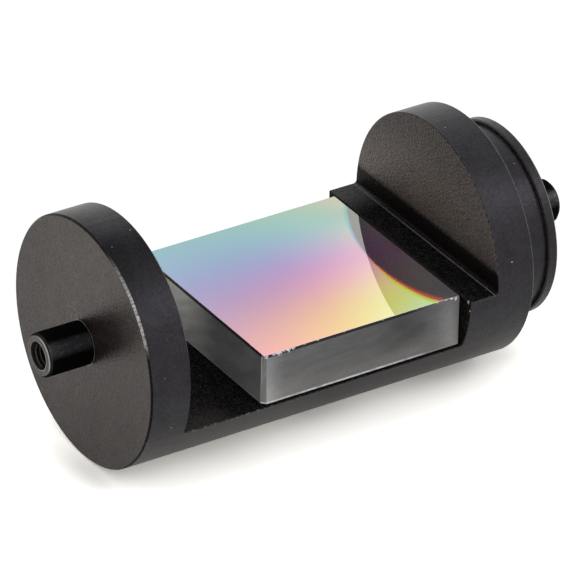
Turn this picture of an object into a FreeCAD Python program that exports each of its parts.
import FreeCAD, Part
import math
import os
import Sketcher

# Rotating grating carrier of a spectrograph: a turned drum with a milled seat
# for a square grating, running on two stepped trunnions.
# Frame: X along the trunnions (left one towards -X), Z along the normal of the
# ruled face, origin on the trunnion axis halfway along the ruled face.
# "The face" is the outer face of the left disc; lengths along X start there.

doc = FreeCAD.newDocument("grating_carrier")

# ---------------------------------------------------------------- dimensions
TABLE = [
    # alias, value, note
    ("axis_offset", 27.50, "from the face to the origin, along X"),
    # carrier body
    ("drum_radius", 14.10, "outside radius of disc, middle and flange"),
    ("disc_thick", 4.90, "left disc"),
    ("pocket_end", 40.12, "far end of the grating pocket, from the face"),
    ("shelf_end", 43.67, "far end of the shelf, at the D-shaped wall"),
    ("flange_end", 48.40, "far face of the right flange"),
    ("neck_end", 52.28, "far end of the neck"),
    ("drum_end", 53.50, "far face of the end rim"),
    ("neck_radius", 10.65, "clamping neck"),
    ("rim_radius", 11.12, "end rim"),
    ("seat_depth", 6.15, "seat below the trunnion axis"),
    ("shelf_depth", 0.02, "shelf below the trunnion axis"),
    ("edge_break", 0.20, "chamfer on the turned edges"),
    ("rim_break", 0.15, "chamfer on the end rim"),
    ("neck_relief", 0.25, "fillet at the foot of the neck"),
    ("shelf_fillet", 0.40, "cutter radius at the foot of the D-shaped wall"),
    ("seat_fillet", 0.25, "cutter radius at the foot of the step"),
    ("disc_fillet", 0.50, "cutter radius at the foot of the left disc"),
    ("cut_break", 0.12, "edge break where the cut-out meets the outside"),
    ("shelf_break", 0.10, "edge break along the shelf"),
    ("bore_radius", 2.00, "trunnion bores"),
    ("bore_break", 0.12, "edge break at the bore mouths and journal ends"),
    ("right_bore_depth", 7.50, "full diameter depth of the blind right bore"),
    ("drill_point", 1.07, "cone at the bottom of the blind right bore"),
    # trunnions
    ("journal_radius", 1.97, "journal of the trunnion inside the drum"),
    ("free_radius", 2.46, "trunnion outside the drum"),
    ("shoulder_gap", 0.03, "end float between shoulder and drum, each end"),
    ("left_free", 5.40, "left trunnion outside the drum"),
    ("left_inner", 4.60, "left trunnion inside the drum"),
    ("right_free", 6.43, "right trunnion outside the drum"),
    ("right_inner", 7.00, "right trunnion inside the drum"),
    ("pin_break", 0.35, "chamfer on the outer ends of the trunnions"),
    ("tap_radius", 1.25, "core radius of the M3 thread"),
    ("tap_mouth", 1.58, "countersink radius at the mouth of the thread"),
    ("tap_depth", 4.50, "depth of the tapped hole"),
    ("tap_point", 0.65, "drill point of the tapped hole"),
    ("drill_web", 0.15, "radius of the flat left at the tip of a drill"),
    # grating and its bond
    ("grating_side", 25.00, "square grating blank"),
    ("grating_thick", 6.00, "glass thickness"),
    ("grating_bevel", 0.12, "protective bevel"),
    ("grating_start", 15.00, "near end of the blank, from the face"),
    ("grating_shift", 0.22, "blank off centre across the seat, along Y"),
    ("bond_thick", 0.10, "adhesive between glass and seat"),
    ("resin_thick", 0.03, "replica resin"),
    ("film_thick", 0.02, "reflective film"),
    ("pad_radius", 2.50, "adhesive pad"),
    ("pad_pitch", 16.00, "spacing of the adhesive pads"),
]
sheet = doc.addObject("Spreadsheet::Sheet", "Dimensions")
for row, (alias, number, note) in enumerate(TABLE, start=1):
    sheet.set("A%d" % row, alias)
    sheet.set("B%d" % row, "%.4f" % number)
    sheet.set("C%d" % row, note)
    sheet.setAlias("B%d" % row, alias)
doc.recompute()
SIZE = {alias: float(sheet.get(alias)) for alias, _, _ in TABLE}


# ------------------------------------------------------------------- helpers
# A "sum" is text such as "0 - width + 2 * depth": aliases and numbers, with
# every word and sign set apart by spaces and no sign in front.
def value(sum_text):
    """Present value of a sum."""
    total = 0.0
    for term in sum_text.replace("- ", "+ -").split("+"):
        term = term.strip()
        product = -1.0 if term.startswith("-") else 1.0
        for factor in term.lstrip("-").split("*"):
            factor = factor.strip()
            product *= SIZE[factor] if factor in SIZE else float(factor)
        total += product
    return total


def sheet_expr(sum_text):
    """The same sum as an expression on the spreadsheet."""
    return " ".join("Dimensions." + word if word in SIZE else word
                    for word in sum_text.split())


def new_body(name):
    return doc.addObject("PartDesign::Body", name)


def new_sketch(body, name, points, role="XZ_Plane"):
    """Closed polygon bound to the sheet. Each point is a pair of sums: X
    counted from the face, then Z (or Y on the XY plane) from the axis."""
    sketch = body.newObject("Sketcher::SketchObject", name)
    plane = next(f for f in body.Origin.OriginFeatures if f.Role == role)
    sketch.AttachmentSupport = [(plane, "")]
    sketch.MapMode = "FlatFace"

    points = [(across + " - axis_offset", up) for across, up in points]
    places = [FreeCAD.Vector(value(across), value(up), 0) for across, up in points]
    count = len(points)
    for i in range(count):
        sketch.addGeometry(Part.LineSegment(places[i], places[(i + 1) % count]), False)
    for i in range(count):
        sketch.addConstraint(Sketcher.Constraint("Coincident", i, 2, (i + 1) % count, 1))
    for i, (across, up) in enumerate(points):
        for kind, sum_text, distance, zero_axis in (
                ("DistanceX", across, places[i].x, -2),
                ("DistanceY", up, places[i].y, -1)):
            if abs(distance) < 1e-9:
                sketch.addConstraint(Sketcher.Constraint("PointOnObject", i, 1, zero_axis))
                continue
            # Distances are kept positive by swapping the two ends.
            if distance > 0:
                constraint = Sketcher.Constraint(kind, -1, 1, i, 1, distance)
                text = sheet_expr(sum_text)
            else:
                constraint = Sketcher.Constraint(kind, i, 1, -1, 1, -distance)
                text = "-1 * (" + sheet_expr(sum_text) + ")"
            index = sketch.addConstraint(constraint)
            sketch.setExpression("Constraints[%d]" % index, text)
    sketch.Visibility = False
    doc.recompute()
    return sketch


def revolve(body, name, points, kind="PartDesign::Revolution"):
    """Full turn of a profile about the trunnion axis."""
    sketch = new_sketch(body, name + "_profile", points)
    feature = body.newObject(kind, name)
    feature.Profile = sketch
    feature.ReferenceAxis = (sketch, ["H_Axis"])
    feature.Angle = 360.0
    doc.recompute()
    return feature


def near(a, b, tolerance=1e-4):
    return abs(a - b) < tolerance


def edges_where(feature, test):
    """Names of the edges whose two ends and middle all pass the test."""
    names = []
    for i, edge in enumerate(feature.Shape.Edges, start=1):
        first, last = edge.FirstParameter, edge.LastParameter
        if all(test(edge.valueAt(at)) for at in (first, 0.5 * (first + last), last)):
            names.append("Edge%d" % i)
    return names


def edges_across(feature, x, z):
    """Names of the edges that run along Y at the given X and Z."""
    return edges_where(feature, lambda point: near(point.x, x) and near(point.z, z))


def dress(body, kind, name, base, edges, size_name, alias):
    """Fillet or chamfer, with its size bound to the sheet."""
    if not edges:
        raise RuntimeError(name + ": no edge found")
    feature = body.newObject("PartDesign::" + kind, name)
    feature.Base = (base, edges)
    feature.setExpression(size_name, "Dimensions." + alias)
    doc.recompute()
    return feature


# -------------------------------------------------------------- carrier body
def turn_blank(body):
    """Disc, middle and flange share one diameter; then a neck and an end rim."""
    blank = revolve(body, "turned_blank", [
        ("0", "0"),
        ("0", "drum_radius - edge_break"),
        ("edge_break", "drum_radius"),
        ("flange_end - edge_break", "drum_radius"),
        ("flange_end", "drum_radius - edge_break"),
        ("flange_end", "neck_radius"),
        ("neck_end", "neck_radius"),
        ("neck_end", "rim_radius - rim_break"),
        ("neck_end + rim_break", "rim_radius"),
        ("drum_end - rim_break", "rim_radius"),
        ("drum_end", "rim_radius - rim_break"),
        ("drum_end", "0"),
    ])
    x_flange = value("flange_end - axis_offset")
    foot = edges_where(blank, lambda point: near(point.x, x_flange) and near(
        math.hypot(point.y, point.z), SIZE["neck_radius"]))
    dress(body, "Fillet", "neck_foot", blank, foot, "Radius", "neck_relief")
    return blank


def mill_cutout(body, blank):
    """Grating seat and the higher shelf beside the D-shaped wall, open to +Z."""
    cutout = body.newObject("PartDesign::Pocket", "cutout")
    cutout.Profile = new_sketch(body, "cutout_profile", [
        ("disc_thick", "0 - seat_depth"),
        ("pocket_end", "0 - seat_depth"),
        ("pocket_end", "0 - shelf_depth"),
        ("shelf_end", "0 - shelf_depth"),
        ("shelf_end", "2 * drum_radius"),
        ("disc_thick", "2 * drum_radius"),
    ])
    cutout.Type = "Length"
    # The symmetric option has another name in builds without SideType.
    if hasattr(cutout, "SideType"):
        cutout.SideType = "Symmetric"
    else:
        cutout.Midplane = True
    cutout.setExpression("Length", "4 * Dimensions.drum_radius")
    doc.recompute()
    if cutout.Shape.Volume > 0.8 * blank.Shape.Volume:
        raise RuntimeError("the cut-out removed too little")
    return cutout


def finish_cutout(body, cutout):
    """Cutter radii in the inside corners, then the edge breaks."""
    x_disc = value("disc_thick - axis_offset")
    x_step = value("pocket_end - axis_offset")
    x_wall = value("shelf_end - axis_offset")
    z_seat = -SIZE["seat_depth"]
    z_shelf = -SIZE["shelf_depth"]
    margin = 0.01

    feature = cutout
    for kind, name, x, z, size_name, alias in (
            ("Fillet", "wall_foot", x_wall, z_shelf, "Radius", "shelf_fillet"),
            ("Fillet", "step_foot", x_step, z_seat, "Radius", "seat_fillet"),
            ("Fillet", "disc_foot", x_disc, z_seat, "Radius", "disc_fillet"),
            ("Chamfer", "shelf_edge", x_step, z_shelf, "Size", "shelf_break")):
        edges = edges_across(feature, x, z)
        feature = dress(body, kind, name, feature, edges, size_name, alias)

    # Every edge where the cut-out meets the outside diameter.
    def on_outside(point):
        return (near(math.hypot(point.y, point.z), SIZE["drum_radius"], 1e-3)
                and x_disc - margin < point.x < x_wall + margin
                and point.z > z_seat - margin)

    return dress(body, "Chamfer", "cut_edges", feature,
                 edges_where(feature, on_outside), "Size", "cut_break")


def bore_carrier(body, unbored):
    """Through bore in the left disc, blind bore with a drill point on the right."""
    left_bore = revolve(body, "left_bore", [
        ("0", "0"),
        ("0", "bore_radius + bore_break"),
        ("bore_break", "bore_radius"),
        ("disc_thick - bore_break", "bore_radius"),
        ("disc_thick", "bore_radius + bore_break"),
        ("disc_thick", "0"),
    ], kind="PartDesign::Groove")
    right_bore = revolve(body, "right_bore", [
        ("drum_end", "0"),
        ("drum_end", "bore_radius + bore_break"),
        ("drum_end - bore_break", "bore_radius"),
        ("drum_end - right_bore_depth", "bore_radius"),
        ("drum_end - right_bore_depth - drill_point", "drill_web"),
        ("drum_end - right_bore_depth - drill_point", "0"),
    ], kind="PartDesign::Groove")
    if not right_bore.Shape.Volume < left_bore.Shape.Volume < unbored.Shape.Volume:
        raise RuntimeError("a trunnion bore removed nothing")


def make_carrier():
    body = new_body("carrier_body")
    blank = turn_blank(body)
    cutout = mill_cutout(body, blank)
    bore_carrier(body, finish_cutout(body, cutout))
    return body


# ----------------------------------------------------------------- trunnions
# Stepped pins: the thin journal runs in the drum, and the shoulder of the
# thick outer end keeps the drum in place along the axis.
def make_left_trunnion():
    """Pin with a tapped hole in its outer end."""
    body = new_body("left_trunnion")
    revolve(body, "left_pin", [
        ("0 - left_free", "0"),
        ("0 - left_free", "free_radius - pin_break"),
        ("0 - left_free + pin_break", "free_radius"),
        ("0 - shoulder_gap", "free_radius"),
        ("0 - shoulder_gap", "journal_radius"),
        ("left_inner - bore_break", "journal_radius"),
        ("left_inner", "journal_radius - bore_break"),
        ("left_inner", "0"),
    ])
    revolve(body, "left_thread_core", [
        ("0 - left_free", "0"),
        ("0 - left_free", "tap_mouth"),
        ("0 - left_free + tap_mouth - tap_radius", "tap_radius"),
        ("0 - left_free + tap_depth", "tap_radius"),
        ("0 - left_free + tap_depth + tap_point", "drill_web"),
        ("0 - left_free + tap_depth + tap_point", "0"),
    ], kind="PartDesign::Groove")
    return body


def make_right_trunnion():
    body = new_body("right_trunnion")
    revolve(body, "right_pin", [
        ("drum_end - right_inner", "0"),
        ("drum_end - right_inner", "journal_radius - bore_break"),
        ("drum_end - right_inner + bore_break", "journal_radius"),
        ("drum_end + shoulder_gap", "journal_radius"),
        ("drum_end + shoulder_gap", "free_radius"),
        ("drum_end + right_free - pin_break", "free_radius"),
        ("drum_end + right_free", "free_radius - pin_break"),
        ("drum_end + right_free", "0"),
    ])
    return body


# ------------------------------------------------------------------- grating
def make_plate(name, inset, thick, level):
    """Square plate over the blank's outline less the inset, its lower face at
    the level. Inset and level are sums, thick is an alias."""
    x_low = "grating_start + " + inset
    x_high = "grating_start + grating_side - " + inset
    y_low = "grating_shift - 0.5 * grating_side + " + inset
    y_high = "grating_shift + 0.5 * grating_side - " + inset
    body = new_body(name)
    sketch = new_sketch(body, name + "_outline", [
        (x_low, y_low), (x_high, y_low), (x_high, y_high), (x_low, y_high),
    ], role="XY_Plane")
    sketch.AttachmentOffset = FreeCAD.Placement(
        FreeCAD.Vector(0, 0, value(level)), FreeCAD.Rotation())
    sketch.setExpression("AttachmentOffset.Base.z", sheet_expr(level))
    plate = body.newObject("PartDesign::Pad", name + "_plate")
    plate.Profile = sketch
    plate.setExpression("Length", "Dimensions." + thick)
    doc.recompute()
    return body, plate


def make_substrate():
    """Glass blank, bevelled on all its edges."""
    body, plate = make_plate("grating_substrate", "0", "grating_thick",
                             "bond_thick - seat_depth")
    dress(body, "Chamfer", "protective_bevel", plate,
          edges_where(plate, lambda point: True), "Size", "grating_bevel")
    return body


def make_top_layers():
    """Resin, then film, over the flat top inside the bevels."""
    glass_top = "bond_thick + grating_thick - seat_depth"
    resin, _ = make_plate("replica_layer", "grating_bevel", "resin_thick", glass_top)
    film, _ = make_plate("reflective_coating", "grating_bevel", "film_thick",
                         glass_top + " + resin_thick")
    return [resin, film]


# ------------------------------------------------------------- adhesive pads
def make_bond_pads():
    """Four round pads between the glass and the seat, one near each corner."""
    middle_x = "grating_start + 0.5 * grating_side - axis_offset"
    corners = ((-1, -1), (1, -1), (1, 1), (-1, 1))
    pads = []
    for i, (side_x, side_y) in enumerate(corners, start=1):
        pad = doc.addObject("Part::Cylinder", "pad_%d" % i)
        for target, sum_text in (
                ("Radius", "pad_radius"),
                ("Height", "bond_thick"),
                ("Placement.Base.x", "%s + %.1f * pad_pitch" % (middle_x, 0.5 * side_x)),
                ("Placement.Base.y", "grating_shift + %.1f * pad_pitch" % (0.5 * side_y)),
                ("Placement.Base.z", "-1 * seat_depth")):
            pad.setExpression(target, sheet_expr(sum_text))
        pads.append(pad)
    bond = doc.addObject("Part::Compound", "bond_pads")
    bond.Links = pads
    doc.recompute()
    return bond


# ---------------------------------------------------------- checks and export
def check_document():
    faults = []
    for item in doc.Objects:
        state = [str(word) for word in item.State]
        if "Invalid" in state or "Error" in state:
            faults.append("%s: %s" % (item.Name, state))
        if item.isDerivedFrom("Sketcher::SketchObject") and not item.FullyConstrained:
            faults.append("%s: not fully constrained" % item.Name)
        if item.isDerivedFrom("Part::Feature"):
            if item.Shape.isNull() or not item.Shape.isValid():
                faults.append("%s: shape null or not valid" % item.Name)
    if faults:
        raise RuntimeError("; ".join(faults))


def export(piece):
    if not piece.Shape.Solids:
        raise RuntimeError(piece.Label + " has no solid")
    piece.Shape.exportStep(os.path.join("parts", piece.Label + ".step"))


pieces = [make_carrier(), make_left_trunnion(), make_right_trunnion(), make_substrate()]
pieces += make_top_layers()
pieces.append(make_bond_pads())

check_document()
os.makedirs("parts", exist_ok=True)
for piece in pieces:
    export(piece)
